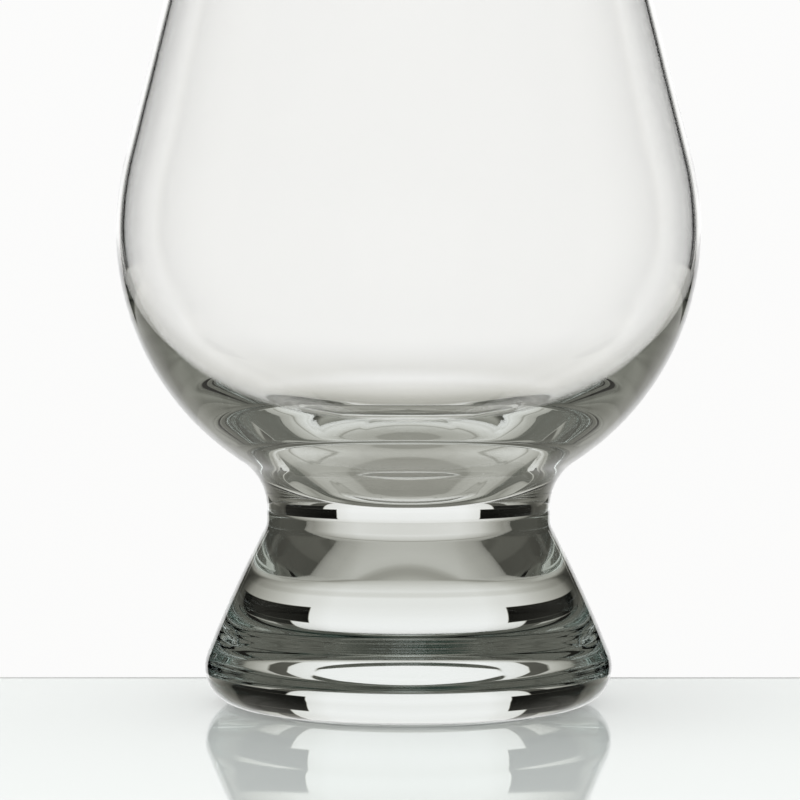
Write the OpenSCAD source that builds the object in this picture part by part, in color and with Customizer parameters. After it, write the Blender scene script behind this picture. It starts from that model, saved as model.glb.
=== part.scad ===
// Whisky nosing glass in two pieces of clear crystal: a blown tulip bowl,
// and the solid pressed foot that it is joined to while both are hot.
// Both are bodies of revolution about Z. The origin is the middle of the
// circle that the foot stands on. All lengths are in millimetres.

/* [Overall] */
// Height of the glass from the table to the lip
glass_h = 115; // [100:0.5:130]
// Longest distance that an arc's short straight steps may stray from it
arc_sag = 0.01; // [0.005:0.001:0.05]

/* [Bowl outside] */
// Widest diameter of the bowl
bowl_d = 66.5; // [58:0.5:74]
// Height of the widest circle above the table
widest_h = 54; // [48:0.5:58]
// Outer diameter of the mouth
mouth_d = 45.8; // [40:0.1:54]
// Radius of the shoulder's arc, as a share of one arc that would reach from the widest circle to the mouth
shoulder_share = 0.19; // [0.1:0.0005:0.27]
// Radius of the arc that turns the chimney upright at the mouth, as a share of that same arc
mouth_share = 0.69; // [0.5:0.001:0.79]

/* [Bowl inside] */
// Thickness of the wall at the lip
lip_wall = 0.8; // [0.6:0.05:1.6]
// Thickness of the wall at the widest circle
belly_wall = 0.95; // [0.8:0.05:2]
// Radius of the outline of the belly's inside, as a share of its depth below the widest circle
inside_share = 0.795; // [0.7:0.005:0.84]
// Radius of the outline of the sill between the belly's inside and the well
sill_arc = 42; // [25:1:80]
// Radius of the outline of the well's round corner
well_corner = 13; // [11:0.5:16]
// Radius of the flat middle of the well's floor
well_floor_r = 1; // [0.5:0.1:2]
// Thickness of the glass between the hot joint and the well's floor
floor_t = 2.45; // [2:0.05:4]

/* [Neck] */
// Diameter of the neck, where bowl and foot are joined
neck_d = 32.3; // [29:0.1:36]
// Height at which the foot's side has become the upright neck
neck_low_h = 21; // [18:0.1:24]
// Length of the neck's upright stretch, which has the hot joint at its middle
neck_len = 1.5; // [0.5:0.1:3]
// Radius of the outline where the neck spreads into the bowl
neck_bowl_arc = 6.4; // [5:0.1:8]
// Radius of the outline where the neck spreads into the foot
neck_foot_arc = 2; // [1:0.1:4]

/* [Foot] */
// Widest diameter of the foot
foot_d = 46.5; // [42:0.5:52]
// Radius of the foot's round lower edge
foot_edge = 4.25; // [3.5:0.05:5]
// Radius of the slightly full outline of the foot's side
foot_side_arc = 140; // [100:5:400]
// Width of the flat ring that the foot stands on
ring_w = 1.5; // [1:0.1:3]
// Height of the shallow hollow under the foot, without the mark in its middle
hollow_h = 0.8; // [0.4:0.1:2]
// Diameter of the round mark that is ground and polished where the hot iron was cut off
iron_mark_d = 16.4; // [12:0.2:20]
// Depth of that mark above the hollow
iron_mark_h = 0.8; // [0.4:0.1:1.5]

/* [Hidden] */
$fn = 180;

crystal = [0.86, 0.88, 0.87];
half_turn = 180;
quarter_turn = 90;

bowl_r = bowl_d / 2;
mouth_r = mouth_d / 2;
neck_r = neck_d / 2;
foot_r = foot_d / 2;
neck_high_h = neck_low_h + neck_len;
joint_h = neck_low_h + neck_len / 2;

// Points of an arc about c from angle a0 to a1, with chords no further than arc_sag from it
function arc(c, r, a0, a1) =
    let(
        step = 2 * acos(1 - min(arc_sag / r, 1)),
        n = 2 * max(1, ceil(abs(a1 - a0) / (2 * step)))
    )
    [for (i = [0:n]) c + r * [cos(a0 + (a1 - a0) * i / n), sin(a0 + (a1 - a0) * i / n)]];

// Direction of b seen from a, in degrees
function heading(a, b) = atan2(b[1] - a[1], b[0] - a[0]);

// Where the circles about a and b cross, left of the line from a to b (side 1) or right of it (side -1)
function crossing(a, ra, b, rb, side) =
    let(
        d = norm(b - a),
        u = (b - a) / d,
        along = (ra * ra - rb * rb + d * d) / (2 * d)
    )
    a + along * u + side * sqrt(ra * ra - along * along) * [-u[1], u[0]];

// Outline from the widest circle of radius r up to the radius mouth at the height top: the shoulder's arc,
// a straight chimney that leans inwards and touches both arcs, and the arc that turns it upright at the mouth
function upper_outline(r, mouth, top) =
    let(
        rise = top - widest_h,
        drop = r - mouth,
        lone_arc = (rise * rise + drop * drop) / (2 * drop),
        shoulder = shoulder_share * lone_arc,
        flare = mouth_share * lone_arc,
        shoulder_c = [r - shoulder, widest_h],
        flare_c = [mouth + flare, top],
        lean = heading(shoulder_c, flare_c) - acos((shoulder + flare) / norm(flare_c - shoulder_c))
    )
    concat(arc(shoulder_c, shoulder, 0, lean), arc(flare_c, flare, half_turn + lean, half_turn));

// The belly outside touches the upright at the widest circle and the arc that spreads from the neck
spread_c = [neck_r + neck_bowl_arc, neck_high_h];
spread_x = bowl_r - spread_c[0];
spread_y = widest_h - neck_high_h;
belly_arc = (spread_x * spread_x + spread_y * spread_y - neck_bowl_arc * neck_bowl_arc)
    / (2 * (spread_x + neck_bowl_arc));
belly_c = [bowl_r - belly_arc, widest_h];
belly_end = heading(belly_c, spread_c);

// The inside of the belly is upright at the widest circle. The sill and the well follow, each touching the
// next.
inside_r = bowl_r - belly_wall;
well_floor_h = joint_h + floor_t;
inside_arc = inside_share * (widest_h - well_floor_h);
inside_c = [inside_r - inside_arc, widest_h];
well_c = [well_floor_r, well_floor_h + well_corner];
sill_c = crossing(well_c, well_corner + sill_arc, inside_c, inside_arc + sill_arc, -1);

// The lip is a half circle across the wall
lip_r = lip_wall / 2;
lip_c = [mouth_r - lip_r, glass_h - lip_r];

// The foot's edge, its side and the arc by which it meets the neck, each touching the next
foot_edge_c = [foot_r - foot_edge, foot_edge];
neck_foot_c = [neck_r + neck_foot_arc, neck_low_h];
foot_side_c = crossing(foot_edge_c, foot_side_arc - foot_edge, neck_foot_c, foot_side_arc + neck_foot_arc, 1);
side_start = heading(foot_side_c, foot_edge_c);
side_end = heading(foot_side_c, neck_foot_c);

// The hollow under the foot is a shallow cap of a sphere, and the mark in its middle is a smaller cap
hollow_r = foot_edge_c[0] - ring_w;
hollow_arc = (hollow_r * hollow_r + hollow_h * hollow_h) / (2 * hollow_h);
hollow_c = [0, hollow_h - hollow_arc];
iron_mark_r = iron_mark_d / 2;
iron_mark_edge = hollow_c + [iron_mark_r, sqrt(hollow_arc * hollow_arc - iron_mark_r * iron_mark_r)];
iron_mark_arc = (iron_mark_r * iron_mark_r + iron_mark_h * iron_mark_h) / (2 * iron_mark_h);
iron_mark_c = [0, iron_mark_edge[1] + iron_mark_h - iron_mark_arc];

function reversed(points) = [for (i = [len(points) - 1:-1:0]) points[i]];

// Outside of the bowl from the neck up to the lip
function bowl_outside() = concat(
    arc(spread_c, neck_bowl_arc, half_turn, half_turn + belly_end),
    arc(belly_c, belly_arc, belly_end, 0),
    upper_outline(bowl_r, mouth_r, lip_c[1])
);

// Inside of the bowl from the middle of the well's floor up to the lip
function bowl_inside() = concat(
    [[0, well_floor_h]],
    arc(well_c, well_corner, -quarter_turn, heading(well_c, sill_c)),
    arc(sill_c, sill_arc, heading(sill_c, well_c), heading(sill_c, inside_c)),
    arc(inside_c, inside_arc, heading(inside_c, sill_c), 0),
    upper_outline(inside_r, mouth_r - lip_wall, lip_c[1])
);

module bowl() {
    color(crystal)
        rotate_extrude()
            polygon(concat(
                [[0, joint_h], [neck_r, joint_h]],
                bowl_outside(),
                arc(lip_c, lip_r, 0, half_turn),
                reversed(bowl_inside())
            ));
}

module foot() {
    color(crystal)
        rotate_extrude()
            polygon(concat(
                reversed(arc(iron_mark_c, iron_mark_arc, heading(iron_mark_c, iron_mark_edge), quarter_turn)),
                reversed(arc(hollow_c, hollow_arc, heading(hollow_c, [hollow_r, 0]),
                    heading(hollow_c, iron_mark_edge))),
                arc(foot_edge_c, foot_edge, -quarter_turn, side_start),
                arc(foot_side_c, foot_side_arc, side_start, side_end),
                arc(neck_foot_c, neck_foot_arc, half_turn + side_end, half_turn),
                [[neck_r, joint_h], [0, joint_h]]
            ));
}

bowl();
foot();
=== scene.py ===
# %% [markdown]
# # A whisky nosing glass in clear crystal
#
# The glass is two pieces of crystal: a blown tulip bowl, and the solid pressed foot that it is joined to
# while both are hot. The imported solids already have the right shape, but they are made of triangles that are
# too coarse for glass. Glass is seen only by how it bends light, and a bend doubles every small error of the
# surface. So both pieces are turned again here as very fine meshes, inside the same box.

import bpy
import numpy as np
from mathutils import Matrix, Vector


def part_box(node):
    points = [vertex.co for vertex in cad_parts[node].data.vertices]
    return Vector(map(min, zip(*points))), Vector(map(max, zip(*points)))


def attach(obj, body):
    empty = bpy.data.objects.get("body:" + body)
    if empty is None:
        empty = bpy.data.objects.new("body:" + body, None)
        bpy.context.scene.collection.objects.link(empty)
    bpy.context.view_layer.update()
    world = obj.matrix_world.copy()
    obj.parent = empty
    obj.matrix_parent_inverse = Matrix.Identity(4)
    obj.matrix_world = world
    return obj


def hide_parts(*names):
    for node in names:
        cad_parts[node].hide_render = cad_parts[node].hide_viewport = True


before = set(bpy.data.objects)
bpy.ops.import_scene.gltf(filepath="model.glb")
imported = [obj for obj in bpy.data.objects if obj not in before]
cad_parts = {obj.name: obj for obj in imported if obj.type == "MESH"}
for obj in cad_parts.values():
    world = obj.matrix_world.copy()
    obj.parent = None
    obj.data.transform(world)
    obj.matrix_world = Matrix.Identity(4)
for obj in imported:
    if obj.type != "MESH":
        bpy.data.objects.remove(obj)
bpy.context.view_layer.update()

MM = 0.001
bowl_low, bowl_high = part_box("bowl")
foot_low, foot_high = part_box("foot")
print("bowl", tuple(bowl_low), tuple(bowl_high))
print("foot", tuple(foot_low), tuple(foot_high))

# %% [markdown]
# ## Helpers for colour and nodes
#
# Colours are written as sRGB hex values, as a colour picker shows them, and one function turns them to the
# linear values that the renderer counts with. One more function adds a shader node with its settings and
# links, and a third starts a material with no nodes, so that each material below reads as a short list.


# %% Colour and node helpers
def linear(hex_colour):
    """sRGB hex to linear RGBA: ((c + 0.055) / 1.055) ** 2.4, and c / 12.92 for the darkest values."""
    value = int(hex_colour.lstrip("#"), 16)
    srgb = np.array([(value >> shift) & 255 for shift in (16, 8, 0)]) / 255
    channels = np.where(srgb <= 0.04045, srgb / 12.92, ((srgb + 0.055) / 1.055) ** 2.4)
    return (*channels.tolist(), 1.0)


def add(tree, kind, settings=None, inputs=None):
    """Adds a node of a kind. Settings are its attributes, inputs its values or links by socket."""
    node = tree.nodes.new(kind)
    for key, value in (settings or {}).items():
        setattr(node, key, value)
    for key, value in (inputs or {}).items():
        if isinstance(value, bpy.types.NodeSocket):
            tree.links.new(value, node.inputs[key])
        else:
            node.inputs[key].default_value = value
    return node


def bare_material(name):
    """A new material whose node tree is still empty, and that tree."""
    material = bpy.data.materials.new(name)
    material.use_nodes = True
    material.node_tree.nodes.clear()
    return material, material.node_tree


print("white paper is", np.round(linear("#f4f4f2"), 3))

# %% [markdown]
# ## The sizes of the glass
#
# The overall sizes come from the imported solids. The rest are the radii of the arcs that the outline is made
# of, in millimetres, as a glassmaker would dimension the mould.

# %% Sizes in millimetres
GLASS_H = bowl_high.z / MM
JOINT_H = bowl_low.z / MM
BOWL_R = bowl_high.x / MM
FOOT_R = foot_high.x / MM

WIDEST_H = 54.0
MOUTH_R = 22.9
NECK_R = 16.15
NECK_LEN = 1.5
NECK_LOW_H = JOINT_H - NECK_LEN / 2
NECK_HIGH_H = JOINT_H + NECK_LEN / 2
NECK_BOWL_ARC = 6.4
NECK_FOOT_ARC = 2.0
SHOULDER_SHARE = 0.19
MOUTH_SHARE = 0.69

LIP_WALL = 0.8
BELLY_WALL = 0.95
INSIDE_SHARE = 0.795
SILL_ARC = 42.0
WELL_CORNER = 13.0
WELL_FLOOR_R = 1.0
FLOOR_T = 2.45

FOOT_EDGE = 4.25
FOOT_SIDE_ARC = 140.0
RING_W = 1.5
HOLLOW_H = 0.8
IRON_MARK_R = 8.2
IRON_MARK_H = 0.8

# Longest step along an arc, and the least number of steps in one
ARC_STEP = 0.6
ARC_LEAST = 12
HALF_TURN = 180
QUARTER_TURN = 90
print(f"height {GLASS_H:.1f}, widest {2 * BOWL_R:.1f}, foot {2 * FOOT_R:.1f}, joint at {JOINT_H:.2f} mm")

# %% [markdown]
# ## The outline as arcs
#
# A blown bowl has no corners: each stretch of its outline touches the next. Every arc centre below follows
# from that rule, so the outline has no kinks, and the light that runs through it has no false lines. The
# points could also be traced by hand, but then each small error would show as a ripple in the glass.


# %% Arc geometry
def arc(centre, radius, start, end):
    """Points of an arc: centre + radius * (cos a, sin a), with a in equal steps from start to end degrees."""
    length = radius * np.radians(abs(end - start))
    steps = max(ARC_LEAST, int(np.ceil(length / ARC_STEP)))
    a = np.radians(np.linspace(start, end, steps + 1))
    return np.asarray(centre) + radius * np.stack([np.cos(a), np.sin(a)], axis=1)


def heading(a, b):
    """Direction of b seen from a, in degrees."""
    return np.degrees(np.arctan2(b[1] - a[1], b[0] - a[0]))


def crossing(a, ra, b, rb, side):
    """Where the circles about a and b cross: along the line a to b, then square to it by what is left."""
    a, b = np.asarray(a), np.asarray(b)
    d = np.linalg.norm(b - a)
    u = (b - a) / d
    along = (ra * ra - rb * rb + d * d) / (2 * d)
    return a + along * u + side * np.sqrt(ra * ra - along * along) * np.array([-u[1], u[0]])


def upper_outline(radius, mouth, top):
    """Shoulder arc, straight leaning chimney and mouth arc, both arcs upright at their outer ends."""
    rise, drop = top - WIDEST_H, radius - mouth
    lone_arc = (rise * rise + drop * drop) / (2 * drop)
    shoulder, flare = SHOULDER_SHARE * lone_arc, MOUTH_SHARE * lone_arc
    shoulder_c = np.array([radius - shoulder, WIDEST_H])
    flare_c = np.array([mouth + flare, top])
    apart = np.linalg.norm(flare_c - shoulder_c)
    lean = heading(shoulder_c, flare_c) - np.degrees(np.arccos((shoulder + flare) / apart))
    low = arc(shoulder_c, shoulder, 0, lean)
    high = arc(flare_c, flare, HALF_TURN + lean, HALF_TURN)
    return np.concatenate([low, straight(low[-1], high[0])[1:-1], high])


def straight(a, b):
    """Equal steps along the line from a to b, both ends included."""
    steps = max(1, int(np.ceil(np.linalg.norm(np.asarray(b) - a) / ARC_STEP)))
    return np.linspace(a, b, steps + 1)


# %% [markdown]
# ## The bowl in section
#
# The outside runs up from the hot joint: the spread of the neck, the round belly, the shoulder, the straight
# chimney and the mouth. The inside starts on the well's floor and climbs over a low sill into the belly. It
# could be the outside moved inwards by the wall, but a real bowl is thin at the belly and thick at the well,
# and clear glass shows it.

# %% The outside of the bowl
spread_c = np.array([NECK_R + NECK_BOWL_ARC, NECK_HIGH_H])
spread_x, spread_y = BOWL_R - spread_c[0], WIDEST_H - NECK_HIGH_H
belly_arc = (spread_x**2 + spread_y**2 - NECK_BOWL_ARC**2) / (2 * (spread_x + NECK_BOWL_ARC))
belly_c = np.array([BOWL_R - belly_arc, WIDEST_H])
belly_end = heading(belly_c, spread_c)
lip_c = np.array([MOUTH_R - LIP_WALL / 2, GLASS_H - LIP_WALL / 2])
outside = [
    straight([NECK_R, JOINT_H], [NECK_R, NECK_HIGH_H]),
    arc(spread_c, NECK_BOWL_ARC, HALF_TURN, HALF_TURN + belly_end),
    arc(belly_c, belly_arc, belly_end, 0),
    upper_outline(BOWL_R, MOUTH_R, lip_c[1]),
]
print(f"belly arc {belly_arc:.2f} mm, it meets the neck's spread at {belly_end:.1f} degrees")

# %% The inside of the bowl
inside_r = BOWL_R - BELLY_WALL
inside_arc = INSIDE_SHARE * (WIDEST_H - JOINT_H - FLOOR_T)
inside_c = np.array([inside_r - inside_arc, WIDEST_H])
well_c = np.array([WELL_FLOOR_R, JOINT_H + FLOOR_T + WELL_CORNER])
sill_c = crossing(well_c, WELL_CORNER + SILL_ARC, inside_c, inside_arc + SILL_ARC, -1)
inside = [
    straight([0, JOINT_H + FLOOR_T], [WELL_FLOOR_R, JOINT_H + FLOOR_T]),
    arc(well_c, WELL_CORNER, -QUARTER_TURN, heading(well_c, sill_c)),
    arc(sill_c, SILL_ARC, heading(sill_c, well_c), heading(sill_c, inside_c)),
    arc(inside_c, inside_arc, heading(inside_c, sill_c), 0),
    upper_outline(inside_r, MOUTH_R - LIP_WALL, lip_c[1]),
]
lip = arc(lip_c, LIP_WALL / 2, 0, HALF_TURN)
bowl_seam = np.array([[0, JOINT_H]])
bowl_outline = np.concatenate([bowl_seam, *outside, lip, np.concatenate(inside)[::-1]])
print(f"outline of the bowl: {len(bowl_outline)} points, the last at {bowl_outline[-1][1]:.2f} mm")

# %% [markdown]
# ## The foot in section
#
# The foot is solid. It stands on a narrow ring, with a shallow hollow inside it, so that it can't rock. In
# the middle of the hollow is the round mark that is ground and polished where the hot iron was cut off. Seen
# through the glass, these two caps make the nested bright ellipses, so they are shape here and not a picture.

# %% The outline of the foot
edge_c = np.array([FOOT_R - FOOT_EDGE, FOOT_EDGE])
neck_foot_c = np.array([NECK_R + NECK_FOOT_ARC, NECK_LOW_H])
side_c = crossing(edge_c, FOOT_SIDE_ARC - FOOT_EDGE, neck_foot_c, FOOT_SIDE_ARC + NECK_FOOT_ARC, 1)
side_start, side_end = heading(side_c, edge_c), heading(side_c, neck_foot_c)
hollow_r = edge_c[0] - RING_W
hollow_arc = (hollow_r**2 + HOLLOW_H**2) / (2 * HOLLOW_H)
hollow_c = np.array([0, HOLLOW_H - hollow_arc])
mark_edge = hollow_c + [IRON_MARK_R, np.sqrt(hollow_arc**2 - IRON_MARK_R**2)]
mark_arc = (IRON_MARK_R**2 + IRON_MARK_H**2) / (2 * IRON_MARK_H)
mark_c = np.array([0, mark_edge[1] + IRON_MARK_H - mark_arc])
foot_outline = np.concatenate([
    arc(mark_c, mark_arc, QUARTER_TURN, heading(mark_c, mark_edge)),
    arc(hollow_c, hollow_arc, heading(hollow_c, mark_edge), heading(hollow_c, [hollow_r, 0])),
    straight([hollow_r, 0], [edge_c[0], 0]),
    arc(edge_c, FOOT_EDGE, -QUARTER_TURN, side_start),
    arc(side_c, FOOT_SIDE_ARC, side_start, side_end),
    arc(neck_foot_c, NECK_FOOT_ARC, HALF_TURN + side_end, HALF_TURN),
    straight([NECK_R, NECK_LOW_H], [NECK_R, JOINT_H]),
    np.array([[0, JOINT_H]]),
])
print(f"outline of the foot: {len(foot_outline)} points")

# %% [markdown]
# ## Turning an outline into glass
#
# Each outline runs from the axis round the section and back to the axis, so turning it about Z closes the
# solid by itself, with one point at each pole. The faces of the hot joint get a material of their own: the
# real joint leaves no surface between the pieces, so light must pass it without a bend. A Screw modifier
# could turn the outline too, but whole arrays give every ring and pole its place at once.

# %% Fineness of the lathe
SEGMENTS = 256
SHARP_ANGLE = 30.0
# Points closer than this, in millimetres, are one point
SAME_POINT = 1e-7
# A face whose normal is this upright, and this near the seam in metres, belongs to the hot joint
UPRIGHT = 0.9999
SEAM_REACH = 1e-6
print(f"one segment of the belly is {2 * np.pi * BOWL_R / SEGMENTS:.2f} mm wide")


# %% The lathe
def turned(name, outline, materials, seam_height):
    """x = r cos a, y = r sin a, z = z for each outline point (r, z) and each of SEGMENTS angles a."""
    keep = np.r_[True, np.linalg.norm(np.diff(outline, axis=0), axis=1) > SAME_POINT]
    outline = outline[keep]
    rings, poles = outline[1:-1] * MM, outline[[0, -1]] * MM
    a = np.arange(SEGMENTS) * 2 * np.pi / SEGMENTS
    grid = np.stack([
        rings[:, :1] * np.cos(a),
        rings[:, :1] * np.sin(a),
        np.repeat(rings[:, 1:], SEGMENTS, axis=1),
    ], axis=-1)
    points = np.concatenate([grid.reshape(-1, 3), [[0, 0, poles[0, 1]], [0, 0, poles[1, 1]]]])
    here = np.arange(SEGMENTS)
    there = (here + 1) % SEGMENTS
    row = (np.arange(len(rings) - 1) * SEGMENTS)[:, None]
    quads = np.stack([row + here, row + there, row + there + SEGMENTS, row + here + SEGMENTS], axis=-1)
    first, last = len(points) - 2, len(points) - 1
    base = (len(rings) - 1) * SEGMENTS
    start_fan = np.stack([np.full(SEGMENTS, first), there, here], axis=-1)
    end_fan = np.stack([np.full(SEGMENTS, last), base + here, base + there], axis=-1)
    corners = np.concatenate([quads.reshape(-1), start_fan.reshape(-1), end_fan.reshape(-1)])
    quad_count, fan_count = quads.shape[0] * SEGMENTS, 2 * SEGMENTS
    sizes = np.r_[np.full(quad_count, 4), np.full(fan_count, 3)]
    starts = np.r_[0, np.cumsum(sizes)[:-1]]

    mesh = bpy.data.meshes.new(name)
    mesh.vertices.add(len(points))
    mesh.vertices.foreach_set("co", points.astype(np.float32).ravel())
    mesh.loops.add(len(corners))
    mesh.loops.foreach_set("vertex_index", corners.astype(np.int32))
    mesh.polygons.add(len(sizes))
    mesh.polygons.foreach_set("loop_start", starts.astype(np.int32))
    for material in materials:
        mesh.materials.append(material)
    mesh.update(calc_edges=True)
    mesh.validate()

    middles = np.zeros(len(mesh.polygons) * 3, np.float32)
    mesh.polygons.foreach_get("center", middles)
    normals = np.zeros(len(mesh.polygons) * 3, np.float32)
    mesh.polygons.foreach_get("normal", normals)
    flat = np.abs(normals.reshape(-1, 3)[:, 2]) > UPRIGHT
    at_seam = flat & (np.abs(middles.reshape(-1, 3)[:, 2] - seam_height) < SEAM_REACH)
    mesh.polygons.foreach_set("material_index", at_seam.astype(np.int32))
    mesh.polygons.foreach_set("use_smooth", ~at_seam)
    mesh.set_sharp_from_angle(angle=np.radians(SHARP_ANGLE))
    mesh.update()
    piece = bpy.data.objects.new(name, mesh)
    bpy.context.scene.collection.objects.link(piece)
    triangles = int((sizes - 2).sum())
    print(f"{name}: {len(points)} points, {triangles} triangles, {int(at_seam.sum())} seam faces")
    return piece


# %% [markdown]
# ## Fire-polished crystal
#
# Lead-free crystal bends light a little more than window glass: its index is about 1.52. The bowl was blown
# and its surface polished by the flame, so it is as smooth as a liquid. What remains are slow waves a few
# millimetres long, too flat to feel. The foot was pressed in a mould and cooled against it, so its waves are
# stronger. The pattern is made by noise that drives a bump, because waves of some micrometres are too flat
# for the mesh. Crystal isn't quite colourless: a long way through it takes out some red, which a volume that
# absorbs gives, while a tint on the surface would colour the thin wall as much as the solid foot.

# %% Values of the crystal
CRYSTAL_IOR = 1.52
CRYSTAL_TINT = "#fffffe"
DEPTH_TINT = "#00e1d8"
DEPTH_DENSITY = 0.9
WAVE_DETAIL = 1.0
WAVE_FADE = 0.4
print("share of red left after 10 cm:", round(float(np.exp(-0.1 * DEPTH_DENSITY)), 3))


# %% The crystal and the hot joint
def crystal(name, wave_mm, wave_height_mm):
    """Clear glass with slow surface waves: noise of the given length and height drives the bump."""
    material, tree = bare_material(name)
    where = add(tree, "ShaderNodeTexCoord")
    waves = add(tree, "ShaderNodeTexNoise", inputs={
        "Vector": where.outputs["Object"], "Scale": 1 / (wave_mm * MM), "Detail": WAVE_DETAIL,
        "Roughness": WAVE_FADE})
    bump = add(tree, "ShaderNodeBump", inputs={
        "Height": waves.outputs["Fac"], "Strength": 1.0, "Distance": wave_height_mm * MM})
    glass = add(tree, "ShaderNodeBsdfPrincipled", inputs={
        "Base Color": linear(CRYSTAL_TINT), "Roughness": 0.0, "IOR": CRYSTAL_IOR,
        "Transmission Weight": 1.0, "Normal": bump.outputs["Normal"]})
    depth = add(tree, "ShaderNodeVolumeAbsorption", inputs={
        "Color": linear(DEPTH_TINT), "Density": DEPTH_DENSITY})
    add(tree, "ShaderNodeOutputMaterial", inputs={
        "Surface": glass.outputs["BSDF"], "Volume": depth.outputs["Volume"]})
    return material


def hot_joint():
    """The fused faces inside the neck: light passes them unchanged."""
    material, tree = bare_material("fused_hot_joint")
    clear = add(tree, "ShaderNodeBsdfTransparent")
    add(tree, "ShaderNodeOutputMaterial", inputs={"Surface": clear.outputs["BSDF"]})
    return material


# Long flat waves: the light in the thin wall drifts a little, as in anything blown
blown = crystal("crystal_blown_fire_polished", wave_mm=9.0, wave_height_mm=0.004)
# Shorter, higher waves: they stir the bands of light deep in the foot
pressed = crystal("crystal_pressed_fire_polished", wave_mm=6.0, wave_height_mm=0.005)
# Nothing to see, as in the real joint
joint = hot_joint()
print("materials of the glass:", blown.name, pressed.name, joint.name)

# %% Turn both pieces
bowl = turned("bowl_blown", bowl_outline, [blown, joint], bowl_low.z)
foot = turned("foot_pressed", foot_outline, [pressed, joint], foot_high.z)
for piece, node in ((bowl, "bowl"), (foot, "foot")):
    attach(piece, "root")
    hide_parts(node)

# %% [markdown]
# ## The floor
#
# A polished pale sheet of glass. It mirrors the bright background at a low angle, and with it the foot. Its
# far edge is a narrow flat strip painted grey, as painted shade where the sheet's edge would fall in shadow,
# and it shows as a thin grey line behind the foot. Light that was bent or mirrored in the nosing glass passes
# the sheet by and meets the ground of the studio below, because there its brightness can be set by direction,
# and a lit sheet has only one.

# %% Floor sheet, in metres
FLOOR_HALF = 1.5
FLOOR_BACK = 0.022
# Width of the flat far strip that is painted grey as the shade of the sheet's edge
FLOOR_EDGE_SHADE_WIDTH = 0.0012
# The sheet lies this much below the foot, so that no two faces share a place
FLOOR_GAP = 0.00002
FLOOR_IOR = 1.5

floor_rows = (-FLOOR_HALF, FLOOR_BACK, FLOOR_BACK + FLOOR_EDGE_SHADE_WIDTH)
across, along = np.meshgrid((-FLOOR_HALF, FLOOR_HALF), floor_rows)
floor_points = np.stack([across.ravel(), along.ravel(), np.zeros(across.size)], axis=1)
floor_mesh = bpy.data.meshes.new("floor")
floor_mesh.from_pydata(floor_points.tolist(), [], [(0, 1, 3, 2), (2, 3, 5, 4)])
floor = bpy.data.objects.new("floor", floor_mesh)
bpy.context.scene.collection.objects.link(floor)
floor.location.z = -FLOOR_GAP
print("floor:", len(floor_mesh.polygons), "faces, far edge at", FLOOR_BACK, "m")

# %% Finishes of the floor
# Polished glass gives a nearly sharp mirror image, and the far edge is a matt strip painted grey as its shade
for name, colour, roughness in (
    ("glass_sheet_polished", "#f1f7f5", 0.03),
    # Painted shade: a matt grey in place of the shade on the sheet's far edge
    ("glass_sheet_edge_painted_shade", "#c2c4c2", 0.6),
):
    sheet, tree = bare_material(name)
    surface = add(tree, "ShaderNodeBsdfPrincipled", inputs={
        "Base Color": linear(colour), "Roughness": roughness, "IOR": FLOOR_IOR})
    add(tree, "ShaderNodeOutputMaterial", inputs={"Surface": surface.outputs["BSDF"]})
    floor_mesh.materials.append(sheet)
# The far strip gets the grey of painted shade
floor_mesh.polygons[1].material_index = 1
floor.visible_transmission = False
floor.visible_glossy = False
print("finishes of the floor:", [sheet.name for sheet in floor_mesh.materials])

# %% [markdown]
# ## A white card round the chimney
#
# Seen from a corner, a single wall of the chimney hardly bends the light, so it would show the dark flags as
# a grey film. In a studio a white card goes there. This one is met only by light that has passed through
# glass without a mirror, so it leaves the foot as dark as it is. It is set for low views: from well above,
# as at 40 degrees, its lower edge shows through the glass as a hard line inside the mouth.

# %% Card, in metres
CARD_R = 0.05
CARD_LOW = 0.085
CARD_HIGH = 0.25
CARD_SIDES = 64
CARD_LEVEL = 1.04
# Between no mirror and one
FIRST_MIRROR = 0.5

here = np.arange(CARD_SIDES)
there = (here + 1) % CARD_SIDES
card_turn = here * 2 * np.pi / CARD_SIDES
rim = np.stack([CARD_R * np.cos(card_turn), CARD_R * np.sin(card_turn)], axis=1)
rims = [np.c_[rim, np.full(CARD_SIDES, height)] for height in (CARD_LOW, CARD_HIGH)]
card_faces = np.stack([here, there, there + CARD_SIDES, here + CARD_SIDES], axis=1)
card_mesh = bpy.data.meshes.new("card")
card_mesh.from_pydata(np.concatenate(rims).tolist(), [], card_faces.tolist())
card = bpy.data.objects.new("card", card_mesh)
bpy.context.scene.collection.objects.link(card)
for kind in ("camera", "diffuse", "glossy", "shadow", "volume_scatter"):
    setattr(card, f"visible_{kind}", False)
print("card:", len(card_faces), "faces")

# %% White of the card
# Matt white board, evenly lit: the thin wall in front of it stays clear
white, tree = bare_material("white_board_lit")
white.cycles.emission_sampling = "NONE"
mirrors = add(tree, "ShaderNodeLightPath").outputs["Glossy Depth"]
mirrored_once = add(tree, "ShaderNodeMath", {"operation": "GREATER_THAN"}, {0: mirrors, 1: FIRST_MIRROR})
shine = add(tree, "ShaderNodeEmission", inputs={"Strength": CARD_LEVEL})
gap = add(tree, "ShaderNodeBsdfTransparent")
either = add(tree, "ShaderNodeMixShader", inputs={
    0: mirrored_once.outputs[0], 1: shine.outputs[0], 2: gap.outputs[0]})
add(tree, "ShaderNodeOutputMaterial", inputs={"Surface": either.outputs[0]})
card_mesh.materials.append(white)
print("white of the card:", len(tree.nodes), "nodes")
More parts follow.
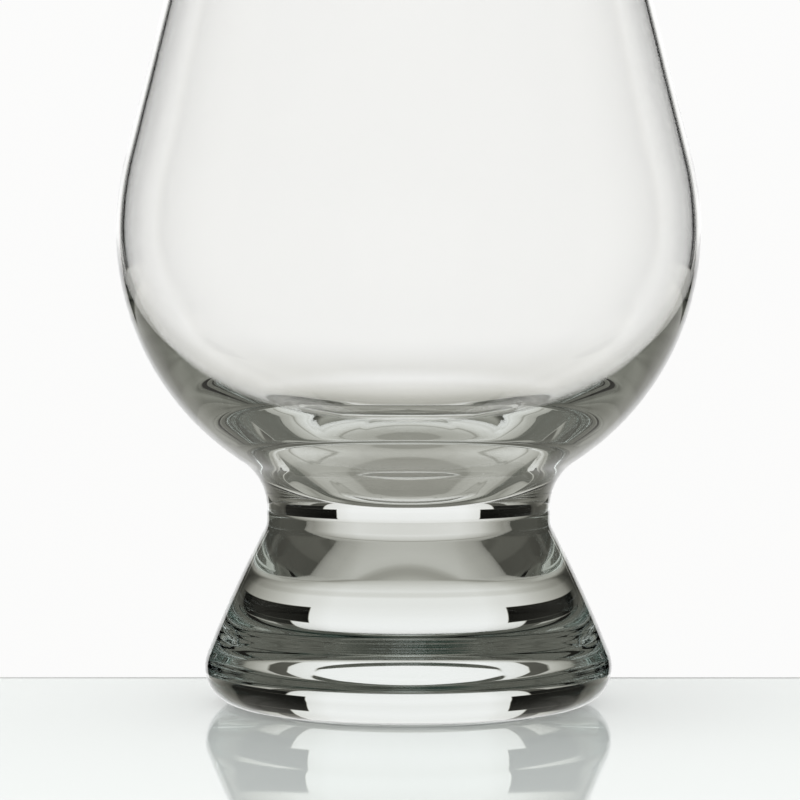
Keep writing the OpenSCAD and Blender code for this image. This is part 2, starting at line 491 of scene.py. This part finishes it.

# %% [markdown]
# ## The studio
#
# Clear glass has no colour of its own, so it is drawn with what stands behind it: a bright panel that fills
# the glass with light, and dark flags beside the panel that bend into its edges and its solid foot as black.
# They could be built as meshes. Here the world holds them by direction, because then each band in the foot
# can be set by the angle at which its light leaves the glass.
#
# A direction has two angles. Lift counts up from the horizon, and turn counts round from behind the glass,
# the same to the left and to the right. Each part of the studio has a short table of (degrees, value) by lift
# and one by turn, and its brightness is their product. The values are fitted to the tones of the photographed
# glass: they were listed from the level that each range of directions needs for that tone, rounded, and
# changed where a render still differed. They are not measured in a real studio.

# %% Panel, ground and room
PANEL_LIFT = [
    (-60, 0.29), (-57.5, 0.30), (-55, 0.41), (-46, 0.49), (-42, 0.55), (-41.2, 0.52), (-40.5, 0.34),
    (-39.7, 0.34), (-38.7, 0.54), (-36, 0.64), (-31, 0.71), (-27, 0.79), (-24.5, 0.71), (-22, 0.71),
    (-20, 0.84), (-14, 0.84), (-4, 0.92), (4, 0.96), (14, 0.94), (22, 0.96), (29, 1.0), (34, 0.80),
    (42, 0.45), (60, 0.17),
]
PANEL_TURN = [
    (0, 1), (16, 1), (20, 0.92), (25, 0.86), (31, 0.66), (37, 0.52), (42, 0.42), (47, 0.33), (51, 0.12),
    (56, 0.04), (70, 0), (180, 0),
]
GROUND_LIFT = [
    (-90, 0.29), (-57.5, 0.30), (-55, 0.40), (-46, 0.45), (-42, 0.46), (-41.2, 0.44), (-40.5, 0.33),
    (-39.7, 0.33), (-38.7, 0.42), (-33, 0.38), (-30, 0.12), (-26, 0),
]
GROUND_TURN = [(0, 1), (60, 0.95), (74, 0.8), (84, 0.5), (95, 0.25), (180, 0.2)]
ROOM_LIFT = [
    (-90, 0.31), (-55, 0.30), (-46, 0.20), (-40, 0.11), (-35, 0.10), (-18, 0.09), (-10, 0.12), (8, 0.20),
    (30, 0.20), (45, 0.12), (60, 0.08), (75, 0.06), (90, 0.06),
]
ROOM_TURN = [
    (0, 0.6), (46, 0.5), (52, 0.34), (58, 0.55), (64, 0.85), (76, 1.1), (96, 1.2), (108, 0.7), (114, 0.6),
    (180, 0.65),
]
print("the panel is brightest at a lift of", max(PANEL_LIFT, key=lambda stop: stop[1])[0], "degrees")

# %% Flags
# Three dark flags on each side, each with its own reach in lift and in turn
FLAGS = [
    ([(-11.2, 0), (-10.6, 1), (5, 1), (6, 0)], [(21.2, 0), (21.5, 1), (49, 1), (53, 0)]),
    ([(4.5, 0), (5.5, 1), (14.5, 1), (17, 0)], [(26.4, 0), (27.0, 1), (49, 1), (53, 0)]),
    ([(14, 0), (15.5, 0.9), (29, 0.86), (33, 0)], [(26.4, 0), (27.0, 1), (33.5, 1), (35, 0)]),
]
FLAG_DARK = 0.002
print(len(FLAGS), "flags on each side")

# %% A world with no nodes
scene = bpy.context.scene
world = bpy.data.worlds.new("studio")
scene.world = world
world.use_nodes = True
sky = world.node_tree
sky.nodes.clear()
print("world:", world.name)

# %% [markdown]
# ## Angles from a direction
#
# The world's texture coordinate is the direction in which a ray leaves, as a unit vector. Its height is the
# sine of the lift, and its other two parts give the turn as an arc tangent. A colour ramp then works as the
# table, which is quicker to read and to change than a chain of sums.

# %% Lift and turn
coordinates = add(sky, "ShaderNodeTexCoord").outputs["Generated"]
direction = add(sky, "ShaderNodeSeparateXYZ", inputs={0: coordinates})
rise = add(sky, "ShaderNodeMath", {"operation": "ARCSINE"}, {0: direction.outputs[2]})
lift = add(sky, "ShaderNodeMath", {"operation": "DEGREES"}, {0: rise.outputs[0]}).outputs[0]
around = add(sky, "ShaderNodeMath", {"operation": "ARCTAN2"},
             {0: direction.outputs[0], 1: direction.outputs[1]})
either_side = add(sky, "ShaderNodeMath", {"operation": "ABSOLUTE"}, {0: around.outputs[0]})
turn = add(sky, "ShaderNodeMath", {"operation": "DEGREES"}, {0: either_side.outputs[0]}).outputs[0]
print("nodes for the two angles:", len(sky.nodes))


# %% Tables as ramps
def table(degrees, stops):
    """Looks an angle up in a table of (degrees, value) stops, with straight lines between them."""
    low, high = stops[0][0], stops[-1][0]
    share = add(sky, "ShaderNodeMapRange", inputs={"Value": degrees, "From Min": low, "From Max": high})
    ramp = add(sky, "ShaderNodeValToRGB", inputs={0: share.outputs["Result"]})
    while len(ramp.color_ramp.elements) < len(stops):
        ramp.color_ramp.elements.new(0.5)
    for element, (angle, value) in zip(ramp.color_ramp.elements, stops):
        element.position = (angle - low) / (high - low)
        element.color = (value, value, value, 1)
    return ramp.outputs[0]


def by_direction(lift_stops, turn_stops):
    """A part of the studio: its value at this lift times its value at this turn."""
    values = {0: table(lift, lift_stops), 1: table(turn, turn_stops)}
    return add(sky, "ShaderNodeMath", {"operation": "MULTIPLY"}, values).outputs[0]


def strongest(first, *others):
    """The largest of several values, taken two at a time."""
    for other in others:
        first = add(sky, "ShaderNodeMath", {"operation": "MAXIMUM"}, {0: first, 1: other}).outputs[0]
    return first


# %% Light and flags
panel = by_direction(PANEL_LIFT, PANEL_TURN)
ground = by_direction(GROUND_LIFT, GROUND_TURN)
room = by_direction(ROOM_LIFT, ROOM_TURN)
lit = strongest(panel, ground, room)
shade = strongest(*[by_direction(*flag) for flag in FLAGS])
studio = add(sky, "ShaderNodeMix", {"data_type": "FLOAT"}, {0: shade, 2: lit, 3: FLAG_DARK}).outputs[0]
print("nodes of the studio:", len(sky.nodes))

# %% [markdown]
# ## What each ray sees
#
# A thin wall hardly bends light, so through both walls of the bowl a ray without a mirror sees the open
# backdrop, which is about half as bright between 38 and 55 degrees below the horizon. In the photo's view
# that draws the dark low bowl, but seen from 40 degrees above the whole bowl looks smoky. A ray that leaves
# far from the flags sees the backdrop too. Every other ray that was bent sees the studio with its flags:
# those rays draw the solid foot. This could be left to the shape alone, but then the bowl would show the
# flags too, and in a real studio they are moved out of line.

# %% Light that passed through the glass
BOWL_LIFT = [
    (-90, 0.97), (-58, 0.90), (-55, 0.48), (-44, 0.50), (-38, 0.60), (-31, 0.76), (-24, 0.90), (-16, 1.04),
    (-6, 1.04), (90, 1.04),
]
# Far from the flags, by turn or by lift
OPEN_TURN = [(70, 0), (78, 1)]
OPEN_LIFT = [(-57, 1), (-54, 0)]
# Directions near the panel, where light that was mirrored between the walls sees the backdrop too
NEAR_TURN = [(48, 1), (56, 0)]
NEAR_LIFT = [(-22, 0), (-16, 1), (16, 1), (22, 0)]
# Between the two surfaces of one wall and the four of both
BOTH_WALLS = 2.5

path = add(sky, "ShaderNodeLightPath")
crossed = add(sky, "ShaderNodeMath", {"operation": "GREATER_THAN"},
              {0: path.outputs["Transmission Depth"], 1: BOTH_WALLS}).outputs[0]
unmirrored = add(sky, "ShaderNodeMath", {"operation": "LESS_THAN"},
                 {0: path.outputs["Glossy Depth"], 1: FIRST_MIRROR}).outputs[0]
far = strongest(crossed, table(turn, OPEN_TURN), table(lift, OPEN_LIFT))
opened = add(sky, "ShaderNodeMath", {"operation": "MULTIPLY"}, {0: far, 1: unmirrored}).outputs[0]
near = by_direction(NEAR_LIFT, NEAR_TURN)
near_opened = add(sky, "ShaderNodeMath", {"operation": "MULTIPLY"}, {0: crossed, 1: near}).outputs[0]
clear_path = strongest(opened, near_opened)
through_glass = add(sky, "ShaderNodeMix", {"data_type": "FLOAT"},
                    {0: clear_path, 2: studio, 3: table(lift, BOWL_LIFT)}).outputs[0]
print("nodes with the light through the glass:", len(sky.nodes))

# %% Light that was mirrored, and the plain backdrop
BACKDROP = 0.97
FLOOR_MIRROR = 0.93
MIRROR_TURN = [(0, 1.25), (16, 1.2), (22, 1), (60, 1), (110, 0.3), (180, 0.3)]

# The outside of the glass is a sharp mirror and shows the studio, dimmer on the camera's side. The floor is a
# mirror that is less sharp, and shows the pale backdrop
dimmed = add(sky, "ShaderNodeMath", {"operation": "MULTIPLY"},
             {0: studio, 1: table(turn, MIRROR_TURN)}).outputs[0]
mirrored = add(sky, "ShaderNodeMix", {"data_type": "FLOAT"},
               {0: path.outputs["Is Singular Ray"], 2: FLOOR_MIRROR, 3: dimmed}).outputs[0]
outside_glass = add(sky, "ShaderNodeMix", {"data_type": "FLOAT"},
                    {0: path.outputs["Is Glossy Ray"], 2: BACKDROP, 3: mirrored}).outputs[0]
level = add(sky, "ShaderNodeMix", {"data_type": "FLOAT"},
            {0: path.outputs["Is Transmission Ray"], 2: outside_glass, 3: through_glass}).outputs[0]
print("nodes with the mirrors:", len(sky.nodes))

# %% Colour of the light
# Dim light in a studio comes off painted walls, so it is a little warmer than the panel
WALL_TINT = "#fffce9"
PANEL_TINT = "#ffffff"

tint = add(sky, "ShaderNodeMix", {"data_type": "RGBA"},
           {0: level, 6: linear(WALL_TINT), 7: linear(PANEL_TINT)})
background = add(sky, "ShaderNodeBackground", inputs={"Color": tint.outputs[2], "Strength": level})
add(sky, "ShaderNodeOutputWorld", inputs={0: background.outputs[0]})
print("nodes of the world:", len(sky.nodes))

# %% [markdown]
# ## A soft lamp
#
# The world alone would light the floor evenly. One large soft lamp above, a little to the left, gives the
# foot a faint shadow to stand in. It could also shine in the glass, but its disk would be one more white
# spot, so the glass doesn't see it.

# %% Lamp
LAMP_SIZE = 0.9
LAMP_WATTS = 2.0
LAMP_PLACE = (-0.3, -0.2, 1.2)
# The tilt about X and about Y that points it at the glass
LAMP_TILT = (0.16, -0.24, 0)

lamp_data = bpy.data.lights.new("softbox", "AREA")
lamp_data.shape = "DISK"
lamp_data.size = LAMP_SIZE
lamp_data.energy = LAMP_WATTS
lamp = bpy.data.objects.new("softbox", lamp_data)
lamp.location = LAMP_PLACE
lamp.rotation_euler = LAMP_TILT
lamp.visible_glossy = False
lamp.visible_transmission = False
scene.collection.objects.link(lamp)
print("lamp:", lamp_data.size, "m wide,", lamp_data.energy, "W")

# %% [markdown]
# ## The camera
#
# The photograph was taken from about 0.8 m with a long lens, a little above the middle of the glass, and it
# crops the mouth. The scale of the bowl and the curve of the foot's lower edge give the distance and the
# height of the lens.

# %% Camera
LENS_MM = 317.2
SENSOR_MM = 36.0
NEAREST = 0.01
eye = np.array([0.0, -0.8, 0.1035])
aim = np.array([-0.000965, 0.0, 0.0347])

camera_data = bpy.data.cameras.new("camera")
camera_data.lens = LENS_MM
camera_data.sensor_width = SENSOR_MM
camera_data.clip_start = NEAREST
camera = bpy.data.objects.new("camera", camera_data)
scene.collection.objects.link(camera)
camera.location = eye
camera.rotation_euler = Vector(aim - eye).to_track_quat("-Z", "Y").to_euler()
scene.camera = camera
scene.view_settings.view_transform = "Standard"
view_angle = np.degrees(camera_data.angle)
print(f"camera {np.linalg.norm(aim - eye):.3f} m away, field of view {view_angle:.1f} degrees")

# %% Paths of light
# Light is reflected many times inside the solid foot before it leaves
MOST_BOUNCES = 48
MOST_OF_ONE_KIND = 32

scene.cycles.max_bounces = MOST_BOUNCES
scene.cycles.glossy_bounces = MOST_OF_ONE_KIND
scene.cycles.transmission_bounces = MOST_OF_ONE_KIND
print("bounces:", scene.cycles.max_bounces)
